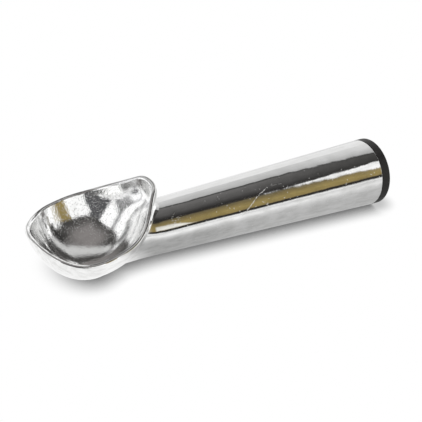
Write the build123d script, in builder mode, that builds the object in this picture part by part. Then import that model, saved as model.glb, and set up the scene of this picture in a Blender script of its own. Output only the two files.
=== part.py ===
import os
from math import atan, cos, radians, sin, sqrt

from build123d import *

os.makedirs("parts", exist_ok=True)

# Bowl: an egg turned about a line that climbs to the rear, blunt in front and pointed behind.
# The shares give its outline behind the widest section, of the rear length and of the radius.
bowl_radius = 28.3
bowl_front = 21.4
bowl_rear = 37.7
bowl_depth = 11.4
bowl_tilt = 7.0
bowl_wall = 2.2
bowl_rear_shares = ((0.4, 0.915), (0.7, 0.615), (0.9, 0.295))
lip_round_share = 0.36

# Rim in side view: the tip's angle below the front of the egg, and heights above the handle's axis.
# The shares give its stations, of the bowl's length, and its heights, of the climb to the rear peak.
rim_tip_angle = 8.0
rim_low_height = 5.9
rim_peak_height = 24.3
rim_shares = (
    (0.19, 0.0),
    (0.357, 0.076),
    (0.524, 0.201),
    (0.691, 0.367),
    (0.825, 0.649),
    (0.908, 0.886),
    (0.958, 1.0),
    (1.032, 1.15),
)

# Handle: a straight cone, thickest at the butt, whose neck is a little deeper than the bowl and whose
# root swells again inside the bowl. The shares give the root's swelling, of the bowl's rise above the
# handle's axis, and its sections, of the bowl's rear length.
butt_diameter = 31.0
handle_length = 116.8
neck_drop = 0.55
neck_round = 3.2
root_inset = 0.6
root_swell_share = 0.82
root_shares = (0.0, 0.25, 0.5, 0.75, 1.0)
butt_round = 0.4

# Sealed chamber in the handle, and the straight mouth at the butt that takes plug and cap
handle_wall = 2.6
chamber_setback = 1.0
chamber_round = 3.0
mouth_wall = 2.4
mouth_depth = 17.0

# Liquid charge
film_gap = 0.1
air_space = 3.0

# Rubber plug that holds the liquid in
plug_length = 8.0
plug_gap = 0.05
plug_rib_depth = 0.6
plug_rib_width = 1.4
plug_socket_diameter = 10.0
plug_socket_depth = 5.0

# End cap, flush with the butt
cap_thickness = 4.5
cap_round = 0.8
spigot_length = 7.0
spigot_gap = 0.1
spigot_wall = 3.2
spigot_lead = 0.6
groove_width = 2.2
groove_inset = 2.0

# Sealing ring in the spigot's groove
ring_section = 1.8
ring_gap = 0.05

# One length by which every cut runs past what it cuts
overrun = 10.0

# Stations along the handle's axis, counted from the bowl's widest section, and radii there
bowl_length = bowl_front + bowl_rear
rim_climb = rim_peak_height - rim_low_height
root_radius = bowl_depth - root_inset
neck_radius = bowl_depth + neck_drop
butt_radius = butt_diameter / 2
mouth_radius = butt_radius - mouth_wall
chamber_station = bowl_rear + chamber_setback
butt_station = bowl_rear + handle_length
mouth_station = butt_station - mouth_depth
plug_station = mouth_station + plug_length
spigot_station = butt_station - spigot_length
groove_station = spigot_station + groove_inset
cap_station = butt_station + cap_thickness
handle_slope_share = (butt_radius - neck_radius) / handle_length


def handle_radius(station):
    return neck_radius + (station - bowl_rear) * handle_slope_share


def egg_drop(angle):
    return sqrt((bowl_front * sin(angle)) ** 2 + (bowl_radius * cos(angle)) ** 2)


# The scoop lies on the underside of its bowl and on the edge of its butt, so its axis climbs a little
tilt = radians(bowl_tilt)
bowl_rise = egg_drop(tilt) - bowl_depth
rest_angle = 0
for settling in range(4):
    drop = egg_drop(tilt + rest_angle) / cos(rest_angle)
    rest_angle = atan((butt_radius + bowl_rise - drop) / butt_station)
axis_height = egg_drop(tilt + rest_angle) - bowl_rise * cos(rest_angle)

# Front end of the rim, on the outline of the egg
tip_angle = radians(rim_tip_angle)
tip_ahead = bowl_front * cos(tip_angle)
tip_below = bowl_radius * sin(tip_angle)
tip_station = tip_below * sin(tilt) - tip_ahead * cos(tilt)
tip_height = bowl_rise - tip_ahead * sin(tilt) - tip_below * cos(tilt)

# The origin lies on the surface, below the middle of the whole length
tip_reach = tip_station * cos(rest_angle) - tip_height * sin(rest_angle)
cap_reach = cap_station * cos(rest_angle) + butt_radius * sin(rest_angle)
along = Vector(cos(rest_angle), 0, sin(rest_angle))
upward = Vector(-sin(rest_angle), 0, cos(rest_angle))
widest_section = Vector(-(tip_reach + cap_reach) / 2, 0, axis_height)
bowl_centre = widest_section + upward * bowl_rise
bowl_along = Vector(cos(rest_angle + tilt), 0, sin(rest_angle + tilt))

# Profiles are drawn on the scoop's middle plane: first value along an axis, second value away from it
side = Plane(origin=widest_section, x_dir=along, z_dir=(0, -1, 0))
bowl_side = Plane(origin=bowl_centre, x_dir=bowl_along, z_dir=(0, 1, 0))
handle_axis = Axis(widest_section, along)
bowl_axis = Axis(bowl_centre, bowl_along)


def egg(inset):
    front = bowl_front - inset
    rear = bowl_rear - inset
    radius = bowl_radius - inset
    with BuildSketch(bowl_side) as profile:
        with BuildLine():
            EllipticalCenterArc((0, 0), front, radius, start_angle=90, arc_size=90)
            Spline(
                (0, radius),
                *[(rear * station, radius * height) for station, height in bowl_rear_shares],
                (rear, 0),
                tangents=[(1, 0), (0, -1)],
            )
            Line((rear, 0), (-front, 0))
        make_face()
    return profile.sketch


def chamber(gap):
    start = chamber_station + gap
    end = mouth_station - gap
    start_radius = handle_radius(chamber_station) - handle_wall - gap
    end_radius = handle_radius(mouth_station) - handle_wall - gap
    with BuildSketch(side) as profile:
        with BuildLine():
            Polyline((start, 0), (end, 0), (end, end_radius), (start, start_radius), close=True)
        make_face()
        start_corner = profile.vertices().sort_by(Axis.X)[:2].sort_by(Axis.Y)[-1]
        fillet(start_corner, chamber_round - gap)
    return profile.sketch


# Solid core of the handle: the cone, and in front of it the root, whose underside stays in line
with BuildPart() as handle_core:
    for share in root_shares:
        swell = bowl_rise * root_swell_share * (1 - share) ** 2
        depth = root_radius + (neck_radius - root_radius) * share
        middle = side.from_local_coords((bowl_rear * share, swell))
        with BuildSketch(Plane(origin=middle, x_dir=(0, 1, 0), z_dir=along)):
            Circle(depth + swell)
    loft()
    with BuildSketch(side):
        with BuildLine():
            Polyline(
                (bowl_rear, 0),
                (butt_station, 0),
                (butt_station, butt_radius),
                (bowl_rear, neck_radius),
                close=True,
            )
        make_face()
    revolve(axis=handle_axis)

# One casting: bowl, neck and hollow handle
with BuildPart() as scoop_casting:
    revolve(egg(0), axis=bowl_axis)
    add(handle_core.part)
    fillet(scoop_casting.edges(Select.NEW), neck_round)
    butt_face = scoop_casting.faces().sort_by(handle_axis)[-1]
    fillet(butt_face.edges(), butt_round)

    # Inside of the bowl, and everything above the curve of its rim
    revolve(egg(bowl_wall), axis=bowl_axis, mode=Mode.SUBTRACT)
    with BuildSketch(side):
        with BuildLine():
            rim = Spline(
                (tip_station, tip_height),
                *[(bowl_length * station - bowl_front, rim_low_height + rim_climb * climb)
                  for station, climb in rim_shares],
            )
            ahead = rim @ 0 - (rim % 0) * overrun
            above = bowl_rise + bowl_radius + overrun
            Line(ahead, rim @ 0)
            Polyline(rim @ 1, ((rim @ 1).X, above), (ahead.X, above), ahead)
        make_face()
    extrude(amount=bowl_radius + overrun, both=True, mode=Mode.SUBTRACT)
    fillet(scoop_casting.edges(Select.NEW), bowl_wall * lip_round_share)

    # Chamber and mouth
    revolve(chamber(0), axis=handle_axis, mode=Mode.SUBTRACT)
    with BuildSketch(side):
        with BuildLine():
            Polyline(
                (mouth_station, 0),
                (butt_station + overrun, 0),
                (butt_station + overrun, mouth_radius),
                (mouth_station, mouth_radius),
                close=True,
            )
        make_face()
    revolve(axis=handle_axis, mode=Mode.SUBTRACT)
scoop_casting.part.label = "scoop_casting"
export_step(scoop_casting.part, "parts/scoop_casting.step")

# Liquid charge, lying level in the chamber with an air space above it
with BuildPart() as heat_fluid:
    revolve(chamber(film_gap), axis=handle_axis)
    fluid_top = heat_fluid.part.bounding_box().max.Z - air_space
    split(bisect_by=Plane.XY.offset(fluid_top), keep=Keep.BOTTOM)
heat_fluid.part.label = "heat_fluid"
export_step(heat_fluid.part, "parts/heat_fluid.step")

# Rubber plug with a sealing rib at each end, seated on the step at the inner end of the mouth
with BuildPart() as seal_plug:
    rib_radius = mouth_radius - plug_gap
    waist_radius = rib_radius - plug_rib_depth
    socket_radius = plug_socket_diameter / 2
    with BuildSketch(side):
        with BuildLine():
            Polyline(
                (mouth_station, 0),
                (mouth_station, rib_radius),
                (mouth_station + plug_rib_width, rib_radius),
                (mouth_station + plug_rib_width, waist_radius),
                (plug_station - plug_rib_width, waist_radius),
                (plug_station - plug_rib_width, rib_radius),
                (plug_station, rib_radius),
                (plug_station, socket_radius),
                (plug_station - plug_socket_depth, socket_radius),
                (plug_station - plug_socket_depth, 0),
                close=True,
            )
        make_face()
    revolve(axis=handle_axis)
seal_plug.part.label = "seal_plug"
export_step(seal_plug.part, "parts/seal_plug.step")

# End cap: a disc over the butt, with a hollow grooved spigot pressed into the mouth
with BuildPart() as end_cap:
    spigot_radius = mouth_radius - spigot_gap
    groove_radius = mouth_radius - ring_gap - ring_section - ring_gap
    hollow_radius = groove_radius - spigot_wall
    with BuildSketch(side):
        with BuildLine():
            Polyline(
                (cap_station, 0),
                (cap_station, butt_radius),
                (butt_station, butt_radius),
                (butt_station, spigot_radius),
                (groove_station + groove_width, spigot_radius),
                (groove_station + groove_width, groove_radius),
                (groove_station, groove_radius),
                (groove_station, spigot_radius),
                (spigot_station, spigot_radius),
                (spigot_station, hollow_radius),
                (butt_station, hollow_radius),
                (butt_station, 0),
                close=True,
            )
        make_face()
    revolve(axis=handle_axis)
    fillet(end_cap.faces().sort_by(handle_axis)[-1].edges(), cap_round)
    spigot_end = end_cap.faces().sort_by(handle_axis)[0]
    chamfer(spigot_end.outer_wire().edges(), spigot_lead)
end_cap.part.label = "end_cap"
export_step(end_cap.part, "parts/end_cap.step")

# Sealing ring, round in section
with BuildPart() as cap_seal_ring:
    ring_radius = ring_section / 2
    with BuildSketch(side):
        with Locations((groove_station + groove_width / 2, groove_radius + ring_gap + ring_radius)):
            Circle(ring_radius)
    revolve(axis=handle_axis)
cap_seal_ring.part.label = "cap_seal_ring"
export_step(cap_seal_ring.part, "parts/cap_seal_ring.step")
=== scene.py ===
from math import cos, pi, radians, sin

import bpy
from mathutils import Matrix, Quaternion, Vector

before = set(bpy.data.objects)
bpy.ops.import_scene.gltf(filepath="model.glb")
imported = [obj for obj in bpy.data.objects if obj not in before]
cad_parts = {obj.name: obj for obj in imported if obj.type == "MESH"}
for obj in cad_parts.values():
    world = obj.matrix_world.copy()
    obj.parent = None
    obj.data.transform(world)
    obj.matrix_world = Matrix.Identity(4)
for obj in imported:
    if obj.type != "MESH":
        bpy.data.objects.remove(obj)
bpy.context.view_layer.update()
print("loaded", sorted(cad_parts))

bpy.ops.object.select_all(action="DESELECT")
scene = bpy.context.scene
scene.view_settings.view_transform = "Standard"
halfTurn = 180.0
millimetre = 0.001


# One output socket, so that shader sums are written as sums
class Wire:
    def __init__(self, tree, socket=None):
        self.tree = tree
        self.socket = socket

    # any node: its type, its settings, its socket values or links, and which output to go on with
    def node(self, kind, settings=None, inputs=None, output=0):
        made = self.tree.nodes.new(kind)
        for name, value in (settings or {}).items():
            if name == "stops":
                ramp = made.color_ramp.elements
                while len(ramp) < len(value):
                    ramp.new(0.5)
                for element, (place, colour) in zip(ramp, value):
                    element.position = place
                    element.color = colour
            else:
                setattr(made, name, value)
        for name, value in (inputs or {}).items():
            if isinstance(value, Wire):
                self.tree.links.new(value.socket, made.inputs[name])
            else:
                made.inputs[name].default_value = value
        return Wire(self.tree, made.outputs[output] if made.outputs else None)

    def sum(self, operation, *terms):
        return self.node("ShaderNodeMath", {"operation": operation}, dict(enumerate(terms)))

    def __add__(self, other):
        return self.sum("ADD", self, other)

    def __radd__(self, other):
        return self.sum("ADD", other, self)

    def __sub__(self, other):
        return self.sum("SUBTRACT", self, other)

    def __rsub__(self, other):
        return self.sum("SUBTRACT", other, self)

    def __mul__(self, other):
        return self.sum("MULTIPLY", self, other)

    def __rmul__(self, other):
        return self.sum("MULTIPLY", other, self)

    def __truediv__(self, other):
        return self.sum("DIVIDE", self, other)

    def __rtruediv__(self, other):
        return self.sum("DIVIDE", other, self)

    def __abs__(self):
        return self.sum("ABSOLUTE", self)

    # another output of the same node
    def also(self, output):
        return Wire(self.tree, self.socket.node.outputs[output])

    # the three parts of a vector
    def split(self, vector):
        first = self.node("ShaderNodeSeparateXYZ", None, {0: vector})
        return first, first.also(1), first.also(2)

    # length of a line, from its two parts
    def distance(self, partX, partY):
        return self.sum("SQRT", partX * partX + partY * partY)

    # 0 below low, 1 above high, soft in between
    def step(self, low, high):
        return self.node(
            "ShaderNodeMapRange",
            {"interpolation_type": "SMOOTHSTEP"},
            {"Value": self, "From Min": low, "From Max": high},
        )

    # from one colour to another, by a mask
    def mix(self, mask, first, second):
        return self.node("ShaderNodeMix", {"data_type": "RGBA"}, {0: mask, 6: first, 7: second}, output=2)

    def noise(self, place, scale, detail):
        return self.node("ShaderNodeTexNoise", None, {"Vector": place, "Scale": scale, "Detail": detail})

    def bump(self, height):
        return self.node("ShaderNodeBump", None, {"Strength": 1.0, "Distance": 1.0, "Height": height})

    # rays that come from the camera, from a mirror and through something clear
    def rays(self):
        direct = self.node("ShaderNodeLightPath", output="Is Camera Ray")
        return direct, direct.also("Is Glossy Ray"), direct.also("Is Transmission Ray")


def emptyTree(owner):
    owner.use_nodes = True
    owner.node_tree.nodes.clear()
    return Wire(owner.node_tree)


def rgb(red, green, blue):
    return (red, green, blue, 1.0)


# Camera
cameraSet = {
    "place": (-0.36614, -0.50226, 0.36317),
    "aim": (-0.00036, -0.00039, 0.01407),
    "roll": 6.394,
    "lens": 136.8,
    "sensor": 36.0,
    "nearest": 0.01,
}
bpy.ops.object.camera_add(location=cameraSet["place"])
camera = bpy.context.object
camera.name = "camera"
camera.data.lens = cameraSet["lens"]
camera.data.sensor_width = cameraSet["sensor"]
camera.data.clip_start = cameraSet["nearest"]
lookAlong = Vector(cameraSet["aim"]) - Vector(cameraSet["place"])
level = lookAlong.to_track_quat("-Z", "Y")
camera.rotation_mode = "QUATERNION"
camera.rotation_quaternion = level @ Quaternion((0, 0, 1), radians(cameraSet["roll"]))
scene.camera = camera
print("camera set")

# Studio: a white floor, one soft overhead lamp, and what the polished metal mirrors
studioSet = {
    "floorSize": 6.0,
    "floorColour": rgb(0.78, 0.78, 0.78),
    "plainLight": rgb(0.4, 0.4, 0.4),
    "lampStrength": 1.95,
    "lampAngle": 60.0,
    "lampFrom": (-0.1, 0.16, 1.0),
}
bpy.ops.mesh.primitive_plane_add(size=studioSet["floorSize"])
floor = bpy.context.object
floor.name = "floor"

# The floor glows white where it is looked at, apart from the scoop's soft contact shadow,
# painted into that glow from ambient occlusion, with a painted round shadow by the butt.
# The metal mirrors it with painted shade along the handle and a painted dark sector in front of the bowl.
shadowSet = {
    "samples": 16,
    "reach": 0.0085,
    "lean": (-0.5, 0.3, 0.8),
    "depth": 1.15,
    "butt": (0.0905, -0.003),
    "buttReach": (0.004, 0.0135),
    "buttDepth": 0.45,
    "handleStart": (-0.05, -0.03),
    "handleAside": (0.018, 0.09),
    "neckEnd": (-0.025, 0.02),
    "underHandle": 0.52,
    "underNeck": 0.42,
    "beyond": (0.02, 0.2),
    "beyondDepth": 0.24,
    "darkMiddle": -0.065,
    "darkTowards": (-0.656, -0.755),
    "darkFrom": (0.06, 0.09),
    "darkSlope": 0.27,
    "darkSoft": 0.02,
    "darkDepth": 0.85,
}
floorMaterial = bpy.data.materials.new("paleFloor")
net = emptyTree(floorMaterial)
lean = net.node("ShaderNodeCombineXYZ", None, dict(enumerate(shadowSet["lean"])))
openSky = net.node(
    "ShaderNodeAmbientOcclusion",
    {"samples": shadowSet["samples"]},
    {"Distance": shadowSet["reach"], "Normal": lean},
    output="AO",
)
covered = 1 - openSky
lookedAt = 1 - covered * covered * shadowSet["depth"]
placeX, placeY = net.split(net.node("ShaderNodeTexCoord", output="Object"))[:2]
# a painted round shadow on the floor by the butt, darkest close to it
buttX, buttY = shadowSet["butt"]
toButt = net.distance(placeX - buttX, placeY - buttY)
paintedButtShadow = (1 - toButt.step(*shadowSet["buttReach"])) * shadowSet["buttDepth"]
lookedAt = net.sum("MINIMUM", lookedAt, 1 - paintedButtShadow)

# painted shade on the floor, seen only in the metal's reflections: along the handle, deeper under the neck,
# further towards the butt, and a dark sector in front of the bowl
nearHandle = placeX.step(*shadowSet["handleStart"]) * (1 - abs(placeY).step(*shadowSet["handleAside"]))
nearNeck = nearHandle * (1 - placeX.step(*shadowSet["neckEnd"]))
neckDrop = shadowSet["underHandle"] - shadowSet["underNeck"]
mirroredFloor = 1 - nearHandle * (1 - shadowSet["underHandle"]) - nearNeck * neckDrop
beyond = placeX.step(*shadowSet["beyond"]) * (1 - nearHandle)
mirroredFloor = mirroredFloor - beyond * shadowSet["beyondDepth"]
darkX, darkY = shadowSet["darkTowards"]
fromMiddle = placeX - shadowSet["darkMiddle"]
ahead = fromMiddle * darkX + placeY * darkY
aside = fromMiddle * darkY - placeY * darkX
sector = (ahead * shadowSet["darkSlope"] - abs(aside)).step(0.0, shadowSet["darkSoft"])
inDark = ahead.step(*shadowSet["darkFrom"]) * sector
mirroredFloor = mirroredFloor - inDark * shadowSet["darkDepth"]

direct, reflected, through = net.rays()
seen = net.sum("MINIMUM", direct + reflected + through, 1.0)
brightness = reflected * mirroredFloor + (1 - reflected) * lookedAt
shade = net.mix(brightness, rgb(0, 0, 0), rgb(1, 1, 1))
glow = net.node("ShaderNodeEmission", None, {"Color": shade, "Strength": 1.0})
plainFloor = net.node("ShaderNodeBsdfDiffuse", None, {"Color": studioSet["floorColour"]})
shown = net.node("ShaderNodeMixShader", None, {0: seen, 1: plainFloor, 2: glow})
net.node("ShaderNodeOutputMaterial", None, {"Surface": shown})
floor.data.materials.append(floorMaterial)

bpy.ops.object.light_add(type="SUN")
lamp = bpy.context.object
lamp.name = "softLamp"
lamp.data.energy = studioSet["lampStrength"]
lamp.data.angle = radians(studioSet["lampAngle"])
lamp.rotation_mode = "QUATERNION"
lamp.rotation_quaternion = Vector(studioSet["lampFrom"]).to_track_quat("Z", "Y")
lamp.visible_glossy = False
print("floor and lamp set")

# Surroundings, drawn on a round map with the zenith in the middle and the horizon at radius 1.
# A panel: middle, half size, turn in degrees, corner radius, softness of its edge, colour.
surroundSet = {
    "walls": rgb(1.18, 1.18, 1.185),
    "ground": rgb(1.0, 1.0, 1.0),
    "horizon": (-0.05, 0.0),
    "poleGuard": 1.000001,
    "secondFrom": (1.4, 1.6),
    "brassAgain": rgb(0.5, 0.5, 0.5),
    "thirdFrom": (2.4, 2.6),
    "thirdColour": rgb(1.15, 1.15, 1.15),
    "thirdShare": 0.85,
    "thirdAside": (-0.06, 0.04),
    "thirdFront": (-0.42, -0.32),
}
mapPanels = {
    "greyBack": ((0.02, 0.76), (0.5, 0.13), -4, 0.1, 0.08, rgb(0.42, 0.42, 0.42)),
    "greyCorner": ((-0.45, 0.62), (0.14, 0.07), -15, 0.05, 0.05, rgb(0.25, 0.25, 0.25)),
    "greyJoint": ((-0.68, 0.2), (0.15, 0.035), 14, 0.02, 0.05, rgb(0.4, 0.4, 0.41)),
    "greyJointFoot": ((-0.93, -0.01), (0.21, 0.034), 62, 0.02, 0.045, rgb(0.2, 0.2, 0.205)),
    "greyCornerEnd": ((-0.6, 0.57), (0.08, 0.03), 25, 0.02, 0.04, rgb(0.33, 0.33, 0.33)),
    "darkCorner": ((-0.77, -0.63), (0.35, 0.36), 8, 0.0, 0.05, rgb(0.10, 0.10, 0.105)),
    "whiteFront": ((-0.26, -0.74), (0.22, 0.28), 0, 0.03, 0.03, rgb(1.08, 1.08, 1.08)),
    "brassDoor": ((0.105, -0.65), (0.07, 0.25), 18, 0.0, 0.025, rgb(0.31, 0.24, 0.095)),
    "brassEdge": ((0.47, -0.46), (0.03, 0.13), 20, 0.0, 0.04, rgb(0.36, 0.35, 0.32)),
    "darkFoot": ((0.58, -0.72), (0.1, 0.04), 40, 0.02, 0.04, rgb(0.14, 0.135, 0.13)),
    "darkPost": ((0.8, -0.28), (0.25, 0.025), 8, 0.0, 0.02, rgb(0.08, 0.08, 0.08)),
    "ceiling": ((0.02, 0.05), (0.56, 0.575), 0, 0.42, 0.03, rgb(0.07, 0.068, 0.066)),
    "whiteNotch": ((0.22, -0.48), (0.06, 0.075), 0, 0.02, 0.025, rgb(1.1, 1.1, 1.1)),
    "ceilingMiddle": ((-0.16, -0.02), (0.24, 0.3), 8, 0.15, 0.14, rgb(0.25, 0.235, 0.23)),
    "lightStreak": ((-0.03, 0.33), (0.3, 0.1), -47, 0.08, 0.06, rgb(0.62, 0.62, 0.615)),
    "streakEnd": ((0.34, -0.03), (0.3, 0.1), -35, 0.08, 0.06, rgb(0.62, 0.62, 0.615)),
    "whiteSide": ((0.6, -0.27), (0.13, 0.1), 0, 0.04, 0.03, rgb(1.2, 1.2, 1.2)),
    "darkSide": ((0.56, 0.02), (0.045, 0.09), 0, 0.02, 0.03, rgb(0.12, 0.12, 0.12)),
    "darkBeam": ((0.22, -0.24), (0.13, 0.08), -25, 0.05, 0.06, rgb(0.04, 0.039, 0.038)),
    "paleBack": ((0.35, 0.53), (0.14, 0.13), -45, 0.06, 0.04, rgb(1.0, 1.0, 1.0)),
    "againDark": ((0.53, 0.02), (0.15, 0.14), 0, 0.03, 0.03, rgb(0.01, 0.01, 0.01)),
    "againWhite": ((0.52, -0.26), (0.15, 0.11), 0, 0.03, 0.03, rgb(1.6, 1.6, 1.6)),
}
world = bpy.data.worlds.new("studio")
scene.world = world
net = emptyTree(world)
rayX, rayY, rayZ = net.split(net.node("ShaderNodeTexCoord", output="Generated"))
levelPart = net.sum("SQRT", surroundSet["poleGuard"] - rayZ * rayZ)
spread = net.sum("ARCCOSINE", rayZ) / (pi / 2) / levelPart
mapX = rayX * spread
mapY = rayY * spread

# brass goes grey in second reflections, and the panels named again are seen only there
depth = net.node("ShaderNodeLightPath", output="Glossy Depth")
second = depth.step(*surroundSet["secondFrom"])
mirrored = surroundSet["walls"]
for name, panel in mapPanels.items():
    (midX, midY), (halfX, halfY), turn, corner, soft, colour = panel
    if name.startswith("brass"):
        colour = net.mix(second, colour, surroundSet["brassAgain"])
    turnCos, turnSin = cos(radians(turn)), sin(radians(turn))
    awayX = mapX - midX
    awayY = mapY - midY
    sideX = net.sum("MAXIMUM", abs(awayX * turnCos + awayY * turnSin) - (halfX - corner), 0.0)
    sideY = net.sum("MAXIMUM", abs(awayY * turnCos - awayX * turnSin) - (halfY - corner), 0.0)
    inside = 1 - net.distance(sideX, sideY).step(max(corner - soft, 0), corner + soft)
    if name.startswith("again"):
        inside = inside * second
    mirrored = net.mix(inside, mirrored, colour)

# third reflections towards the left and the front are pale
third = depth.step(*surroundSet["thirdFrom"]) * surroundSet["thirdShare"]
third = third * (1 - mapX.step(*surroundSet["thirdAside"]))
third = third * (1 - mapY.step(*surroundSet["thirdFront"]))
mirrored = net.mix(third, mirrored, surroundSet["thirdColour"])
mirrored = net.mix(1 - rayZ.step(*surroundSet["horizon"]), mirrored, surroundSet["ground"])

direct, reflected, through = net.rays()
shown = net.mix(net.sum("MINIMUM", reflected + through, 1.0), studioSet["plainLight"], mirrored)
shown = net.mix(direct, shown, rgb(1, 1, 1))
background = net.node("ShaderNodeBackground", None, {"Color": shown, "Strength": 1.0})
net.node("ShaderNodeOutputWorld", None, {"Surface": background})
world.cycles.sampling_method = "NONE"
print("surroundings set")

# Arched screens along the handle, seen only in its polish: pale behind, dark above, brass in front.
# Along: where it grows, in metres. Leaves: where on the metal the mirrored ray starts, in metres.
# Each stop: angle about the handle's axis, from the rear round over the top to the front, and colour.
tentSet = {
    "radius": 2.0,
    "start": 0.75,
    "end": 4.0,
    "sides": 256,
    "axisHeight": 0.013216,
    "axisSlope": 0.026754,
    "skinHeight": 0.006,
    "handleLeaves": (-0.04, -0.03),
    "edgeLean": {"along": (1.1, 1.36), "by": 14.0, "angle": 72.0, "fades": (15.0, 40.0)},
    "dusk": {
        "along": (0.95, 1.35),
        "depth": 0.75,
        "fromAngle": (73.0, 76.0),
        "toAngle": (118.0, 124.0),
        "colour": rgb(0.04, 0.039, 0.037),
    },
    "whiteWedge": {
        "along": (1.095, 1.33),
        "angle": 128.0,
        "spread": 25.0,
        "lean": (1.1, 1.4),
        "leanBy": 10.0,
        "nearEdge": (-1.0, 1.0),
        "farEdge": (-1.0, 2.0),
        "leaves": (-0.005, 0.005),
        "colour": rgb(1.05, 1.05, 1.05),
    },
    "creamWedge": {
        "fades": (-0.016, 0.0),
        "angle": 167.0,
        "spread": 19.0,
        "nearEdge": (-1.0, 1.0),
        "farEdge": (-1.0, 6.0),
        "leaves": (-0.0285, -0.0265),
        "colour": rgb(0.9, 0.88, 0.82),
    },
    "stops": (
        (0, rgb(0.88, 0.88, 0.88)),
        (30, rgb(0.85, 0.85, 0.85)),
        (50, rgb(0.64, 0.64, 0.64)),
        (70, rgb(0.47, 0.47, 0.47)),
        (71, rgb(0.45, 0.45, 0.45)),
        (72.5, rgb(0.06, 0.06, 0.06)),
        (75, rgb(0.07, 0.069, 0.068)),
        (80, rgb(0.165, 0.16, 0.158)),
        (95, rgb(0.13, 0.127, 0.125)),
        (108, rgb(0.1, 0.097, 0.096)),
        (116, rgb(0.062, 0.06, 0.059)),
        (122, rgb(0.036, 0.034, 0.033)),
        (128, rgb(0.03, 0.028, 0.026)),
        (130.5, rgb(0.05, 0.043, 0.032)),
        (133, rgb(0.155, 0.128, 0.073)),
        (142, rgb(0.24, 0.186, 0.083)),
        (154, rgb(0.34, 0.264, 0.104)),
        (167, rgb(0.31, 0.236, 0.094)),
        (168.5, rgb(0.033, 0.031, 0.028)),
        (176, rgb(0.033, 0.031, 0.028)),
        (177, rgb(0.75, 0.75, 0.75)),
        (180, rgb(0.75, 0.75, 0.75)),
    ),
}
tentMiddle = (tentSet["end"] + tentSet["start"]) / 2
bpy.ops.object.select_all(action="DESELECT")
bpy.ops.mesh.primitive_cylinder_add(
    vertices=tentSet["sides"],
    radius=tentSet["radius"],
    depth=tentSet["end"] - tentSet["start"],
    end_fill_type="NOTHING",
    location=(tentMiddle, 0, tentSet["axisHeight"] + tentMiddle * tentSet["axisSlope"]),
    rotation=(0, pi / 2 - tentSet["axisSlope"], 0),
)
tent = bpy.context.object
tent.name = "handleScreens"
bpy.ops.object.transform_apply(location=True, rotation=True, scale=True)
bpy.ops.object.mode_set(mode="EDIT")
bpy.ops.mesh.select_all(action="SELECT")
bpy.ops.mesh.bisect(
    plane_co=(0, 0, tentSet["axisHeight"]),
    plane_no=(-tentSet["axisSlope"], 0, 1),
    clear_inner=True,
)
bpy.ops.object.mode_set(mode="OBJECT")
tent.visible_camera = False
tent.visible_diffuse = False
tent.visible_transmission = False
tent.visible_shadow = False

tentMaterial = bpy.data.materials.new("screens")
net = emptyTree(tentMaterial)
placeX, placeY, placeZ = net.split(net.node("ShaderNodeTexCoord", output="Object"))
height = placeZ - tentSet["axisHeight"] - placeX * tentSet["axisSlope"]
turn = net.sum("ARCTAN2", height, placeY) * (halfTurn / pi)

# how far along X a ray has come tells where it left the metal
rayLength = net.node("ShaderNodeLightPath", output="Ray Length")
reach = tentSet["radius"] - tentSet["skinHeight"]
cameAlong = net.sum("SQRT", net.sum("MAXIMUM", rayLength * rayLength - reach * reach, 0.0))
leftAt = placeX + height * tentSet["axisSlope"] - cameAlong

# the bands, whose upper edge leans towards the butt
edgeLean = tentSet["edgeLean"]
nearEdge = 1 - abs(turn - edgeLean["angle"]).step(*edgeLean["fades"])
turn = turn - placeX.step(*edgeLean["along"]) * edgeLean["by"] * nearEdge
bands = net.node(
    "ShaderNodeValToRGB",
    {"stops": [(angle / halfTurn, colour) for angle, colour in tentSet["stops"]]},
    {"Fac": turn / halfTurn},
)
dusk = tentSet["dusk"]
inDusk = placeX.step(*dusk["along"]) * dusk["depth"]
inDusk = inDusk * turn.step(*dusk["fromAngle"]) * (1 - turn.step(*dusk["toAngle"]))
bands = net.mix(inDusk, bands, dusk["colour"])

# a white wedge that widens towards the butt, and a cream one that narrows away from the neck
white = tentSet["whiteWedge"]
whiteStart, whiteEnd = white["along"]
spread = (placeX - whiteStart) * (white["spread"] / (whiteEnd - whiteStart))
above = turn - white["angle"] + placeX.step(*white["lean"]) * white["leanBy"]
wedge = above.step(*white["nearEdge"]) * (spread - above).step(*white["farEdge"])
bands = net.mix(wedge * leftAt.step(*white["leaves"]), bands, white["colour"])
cream = tentSet["creamWedge"]
spread = cream["spread"] * (1 - leftAt.step(*cream["fades"]))
below = cream["angle"] - turn
wedge = below.step(*cream["nearEdge"]) * (spread - below).step(*cream["farEdge"])
bands = net.mix(wedge * leftAt.step(*cream["leaves"]), bands, cream["colour"])

# only the handle mirrors them
screen = net.node("ShaderNodeEmission", None, {"Color": bands, "Strength": 1.0})
clear = net.node("ShaderNodeBsdfTransparent", None, {"Color": rgb(1, 1, 1)})
fromHandle = leftAt.step(*tentSet["handleLeaves"])
shown = net.node("ShaderNodeMixShader", None, {0: fromHandle, 1: clear, 2: screen})
net.node("ShaderNodeOutputMaterial", None, {"Surface": shown})
tent.data.materials.append(tentMaterial)
print("screens set")


def dress(nodeName, material):
    piece = bpy.data.objects[nodeName]
    for slot in piece.material_slots:
        slot.material = material


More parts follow.
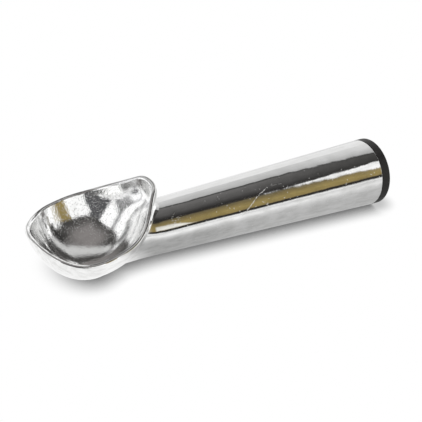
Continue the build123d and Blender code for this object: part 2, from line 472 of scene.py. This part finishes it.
# Polished aluminium of the casting: hand polish over a cast skin, pitted inside the bowl and knocked on
# the handle. A layer of relief: noise per metre, depth in metres, detail. A place on the handle: mm along X
# and degrees up the front. A scratch: both its ends and its strength. The knock: its place and reach in mm.
aluminiumSet = {
    "bright": rgb(0.91, 0.91, 0.905),
    "dull": rgb(0.72, 0.72, 0.71),
    "bare": rgb(0.95, 0.95, 0.95),
    # the lighter colour of the corner behind the peak is a painted sheen
    "corner": rgb(0.98, 0.98, 0.98),
    "polish": 0.05,
    "haze": 0.04,
    "bareRoughness": 0.4,
    "cornerRoughness": 0.16,
    "bowlCentre": (-0.0693, 0.0, 0.0283),
    "bowlInward": (-0.012, -0.004),
    "bowlEnd": (-0.036, -0.032),
    "cornerX": (-0.044, -0.038),
    "cornerZ": (0.022, 0.027),
    "handleStart": (-0.03, -0.027),
    "handleRadius": 0.0137,
    "handleTop": (0.8, 1.2),
    "wave": (90.0, 0.00012, 1.0),
    "handleRipple": (1300.0, 0.000007, 1.0),
    "bowlRipple": (2000.0, 0.000022, 0.0),
    "bowlPits": (2200.0, 0.35, 0.4),
    "pitDepth": 0.00005,
    "worn": (0.0045, 0.011),
    "wornShare": 0.8,
    "dotCore": 0.3,
    "streakScale": (140.0, 520.0, 520.0),
    "streakShare": 0.6,
    "cloudScale": 130.0,
    "cloudShare": 0.4,
    "hazeDetail": 3.0,
    "hazeEdge": (0.35, 0.7),
    "hazeSpared": 0.6,
    "handleSpecks": (1900.0, 0.02, 0.36),
    "knock": ((-25.0, 41.0), 4.2),
    "knockShare": 0.9,
    "markDepth": 0.00004,
    "scratchWidth": 0.00024,
    "scratchCore": 0.4,
    "skipNoise": (1200.0, 1.0),
    "skipEdge": (0.4, 0.52),
    "scratches": (
        ((8.0, 13), (17.1, 42), 0.5),
        ((17.1, 42), (24.2, 55), 0.75),
        ((25.5, 55), (31.0, 54), 0.5),
        ((19.2, 30), (21.7, 20), 0.3),
    ),
}
aluminium = bpy.data.materials.new("polishedAluminium")
net = emptyTree(aluminium)
place = net.node("ShaderNodeTexCoord", output="Object")
placeX, placeY, placeZ = net.split(place)
normal = net.node("ShaderNodeNewGeometry", output="Normal")
fromCentre = net.node(
    "ShaderNodeVectorMath", {"operation": "SUBTRACT"}, {0: place, 1: aluminiumSet["bowlCentre"]}
)
facing = net.node(
    "ShaderNodeVectorMath", {"operation": "DOT_PRODUCT"}, {0: fromCentre, 1: normal}, output="Value"
)
inBowl = (1 - facing.step(*aluminiumSet["bowlInward"])) * (1 - placeX.step(*aluminiumSet["bowlEnd"]))
onHandle = placeX.step(*aluminiumSet["handleStart"])

# place on the handle's skin, unrolled: along it, and up its front
handleRadius = aluminiumSet["handleRadius"]
height = placeZ - tentSet["axisHeight"] - placeX * tentSet["axisSlope"]
upFront = net.sum("ARCTAN2", height, 0 - placeY) * handleRadius


def unrolled(point):
    return point[0] * millimetre, radians(point[1]) * handleRadius


def relief(scale, depth, detail):
    return depth * net.noise(place, scale, detail)


# round dots in a share of the cells of a pattern
def dots(scale, share, reach):
    cells = net.node("ShaderNodeTexVoronoi", None, {"Vector": place, "Scale": scale})
    chance = net.split(cells.also("Color"))[0]
    drawn = 1 - net.sum("GREATER_THAN", chance, share)
    return (1 - cells.step(reach * aluminiumSet["dotCore"], reach)) * drawn


def scratch(start, end):
    (startX, startUp), (endX, endUp) = unrolled(start), unrolled(end)
    runX, runUp = endX - startX, endUp - startUp
    squared = runX * runX + runUp * runUp
    share = (placeX - startX) * (runX / squared) + (upFront - startUp) * (runUp / squared)
    share = net.sum("MINIMUM", net.sum("MAXIMUM", share, 0.0), 1.0)
    gap = net.distance(placeX - startX - share * runX, upFront - startUp - share * runUp)
    width = aluminiumSet["scratchWidth"]
    return 1 - gap.step(width * aluminiumSet["scratchCore"], width)


scratches = 0.0
for start, end, strength in aluminiumSet["scratches"]:
    scratches = net.sum("MAXIMUM", scratches, scratch(start, end) * strength)
scratches = scratches * net.noise(place, *aluminiumSet["skipNoise"]).step(*aluminiumSet["skipEdge"])

# specks all along the handle, crowded where it was knocked
knockPlace, knockReach = aluminiumSet["knock"]
knockX, knockUp = unrolled(knockPlace)
knocked = 1 - net.distance(placeX - knockX, upFront - knockUp).step(0.0, knockReach * millimetre)
speckScale, speckShare, speckReach = aluminiumSet["handleSpecks"]
specks = dots(speckScale, knocked * aluminiumSet["knockShare"] + speckShare, speckReach)
marks = net.sum("MAXIMUM", scratches, specks * onHandle)

# faint streaks of the polishing wheel and clouds of haze, fewer in the bowl and on top of the handle
streakPlace = net.node(
    "ShaderNodeVectorMath", {"operation": "MULTIPLY"}, {0: place, 1: aluminiumSet["streakScale"]}
)
hazeDetail, hazeEdge = aluminiumSet["hazeDetail"], aluminiumSet["hazeEdge"]
streaks = net.noise(streakPlace, 1.0, hazeDetail).step(*hazeEdge)
clouds = net.noise(place, aluminiumSet["cloudScale"], hazeDetail).step(*hazeEdge)
topLow, topHigh = aluminiumSet["handleTop"]
onTop = upFront.step(handleRadius * topLow, handleRadius * topHigh) * onHandle
hazy = streaks * aluminiumSet["streakShare"] + clouds * aluminiumSet["cloudShare"]
hazy = hazy * (1 - inBowl * aluminiumSet["hazeSpared"]) * (1 - onTop * aluminiumSet["hazeSpared"])
skin = net.mix(hazy, aluminiumSet["bright"], aluminiumSet["dull"])
skin = net.mix(marks, skin, aluminiumSet["bare"])
roughness = aluminiumSet["polish"] + hazy * aluminiumSet["haze"] + marks * aluminiumSet["bareRoughness"]

# the corner behind the peak: rougher, where the wheel doesn't reach, and lighter in colour, a painted sheen
roughCornerPaintedSheen = inBowl * placeX.step(*aluminiumSet["cornerX"]) * placeZ.step(*aluminiumSet["cornerZ"])
skin = net.mix(roughCornerPaintedSheen, skin, aluminiumSet["corner"])
roughness = roughness + roughCornerPaintedSheen * aluminiumSet["cornerRoughness"]

# waves, fine ripples, the marks, and pits that are worn away on the floor of the bowl
pitted = inBowl * (1 - (1 - placeZ.step(*aluminiumSet["worn"])) * aluminiumSet["wornShare"])
height = relief(*aluminiumSet["wave"])
height = height + relief(*aluminiumSet["handleRipple"]) * (1 - inBowl)
height = height + relief(*aluminiumSet["bowlRipple"]) * inBowl
height = height - dots(*aluminiumSet["bowlPits"]) * pitted * aluminiumSet["pitDepth"]
height = height - marks * aluminiumSet["markDepth"]
shine = net.node(
    "ShaderNodeBsdfPrincipled",
    None,
    {"Base Color": skin, "Metallic": 1.0, "Roughness": roughness, "Normal": net.bump(height)},
)
net.node("ShaderNodeOutputMaterial", None, {"Surface": shine})
dress("scoop_casting", aluminium)
print("aluminium set")

# Moulded pieces and the fluid: two tones, clouded, with a fine grain.
# Grain: noise per metre, depth in metres.
mouldedShared = {"cloudDetail": 3.0, "cloudEdge": (0.35, 0.65), "grainDetail": 2.0}
mouldedSets = {
    "end_cap": {
        "finish": "blackPlastic",
        "tones": (rgb(0.0105, 0.0095, 0.009), rgb(0.018, 0.0165, 0.0155)),
        "roughness": (0.42, 0.55),
        "specular": 0.35,
        "clouds": 350.0,
        "grain": (2600.0, 0.000012),
    },
    "seal_plug": {
        "finish": "greyRubber",
        "tones": (rgb(0.29, 0.28, 0.27), rgb(0.35, 0.34, 0.33)),
        "roughness": (0.7, 0.85),
        "specular": 0.4,
        "clouds": 220.0,
        "grain": (1800.0, 0.00002),
    },
    "cap_seal_ring": {
        "finish": "blackRubber",
        "tones": (rgb(0.04, 0.04, 0.04), rgb(0.06, 0.06, 0.06)),
        "roughness": (0.55, 0.7),
        "specular": 0.4,
        "clouds": 500.0,
        "grain": (3000.0, 0.00001),
    },
    "heat_fluid": {
        "finish": "tintedFluid",
        "tones": (rgb(0.4, 0.68, 0.6), rgb(0.5, 0.73, 0.65)),
        "roughness": (0.03, 0.08),
        "specular": 0.5,
        "clouds": 60.0,
        "grain": (150.0, 0.00002),
    },
}
for nodeName, mouldedSet in mouldedSets.items():
    moulded = bpy.data.materials.new(mouldedSet["finish"])
    net = emptyTree(moulded)
    place = net.node("ShaderNodeTexCoord", output="Object")
    clouds = net.noise(place, mouldedSet["clouds"], mouldedShared["cloudDetail"])
    cloudy = clouds.step(*mouldedShared["cloudEdge"])
    smooth, coarse = mouldedSet["roughness"]
    grainScale, grainDepth = mouldedSet["grain"]
    grain = net.noise(place, grainScale, mouldedShared["grainDetail"])
    shell = net.node(
        "ShaderNodeBsdfPrincipled",
        None,
        {
            "Base Color": net.mix(cloudy, *mouldedSet["tones"]),
            "Roughness": smooth + cloudy * (coarse - smooth),
            "Specular IOR Level": mouldedSet["specular"],
            "Normal": net.bump(grain * grainDepth),
        },
    )
    net.node("ShaderNodeOutputMaterial", None, {"Surface": shell})
    dress(nodeName, moulded)
print("moulded pieces set")
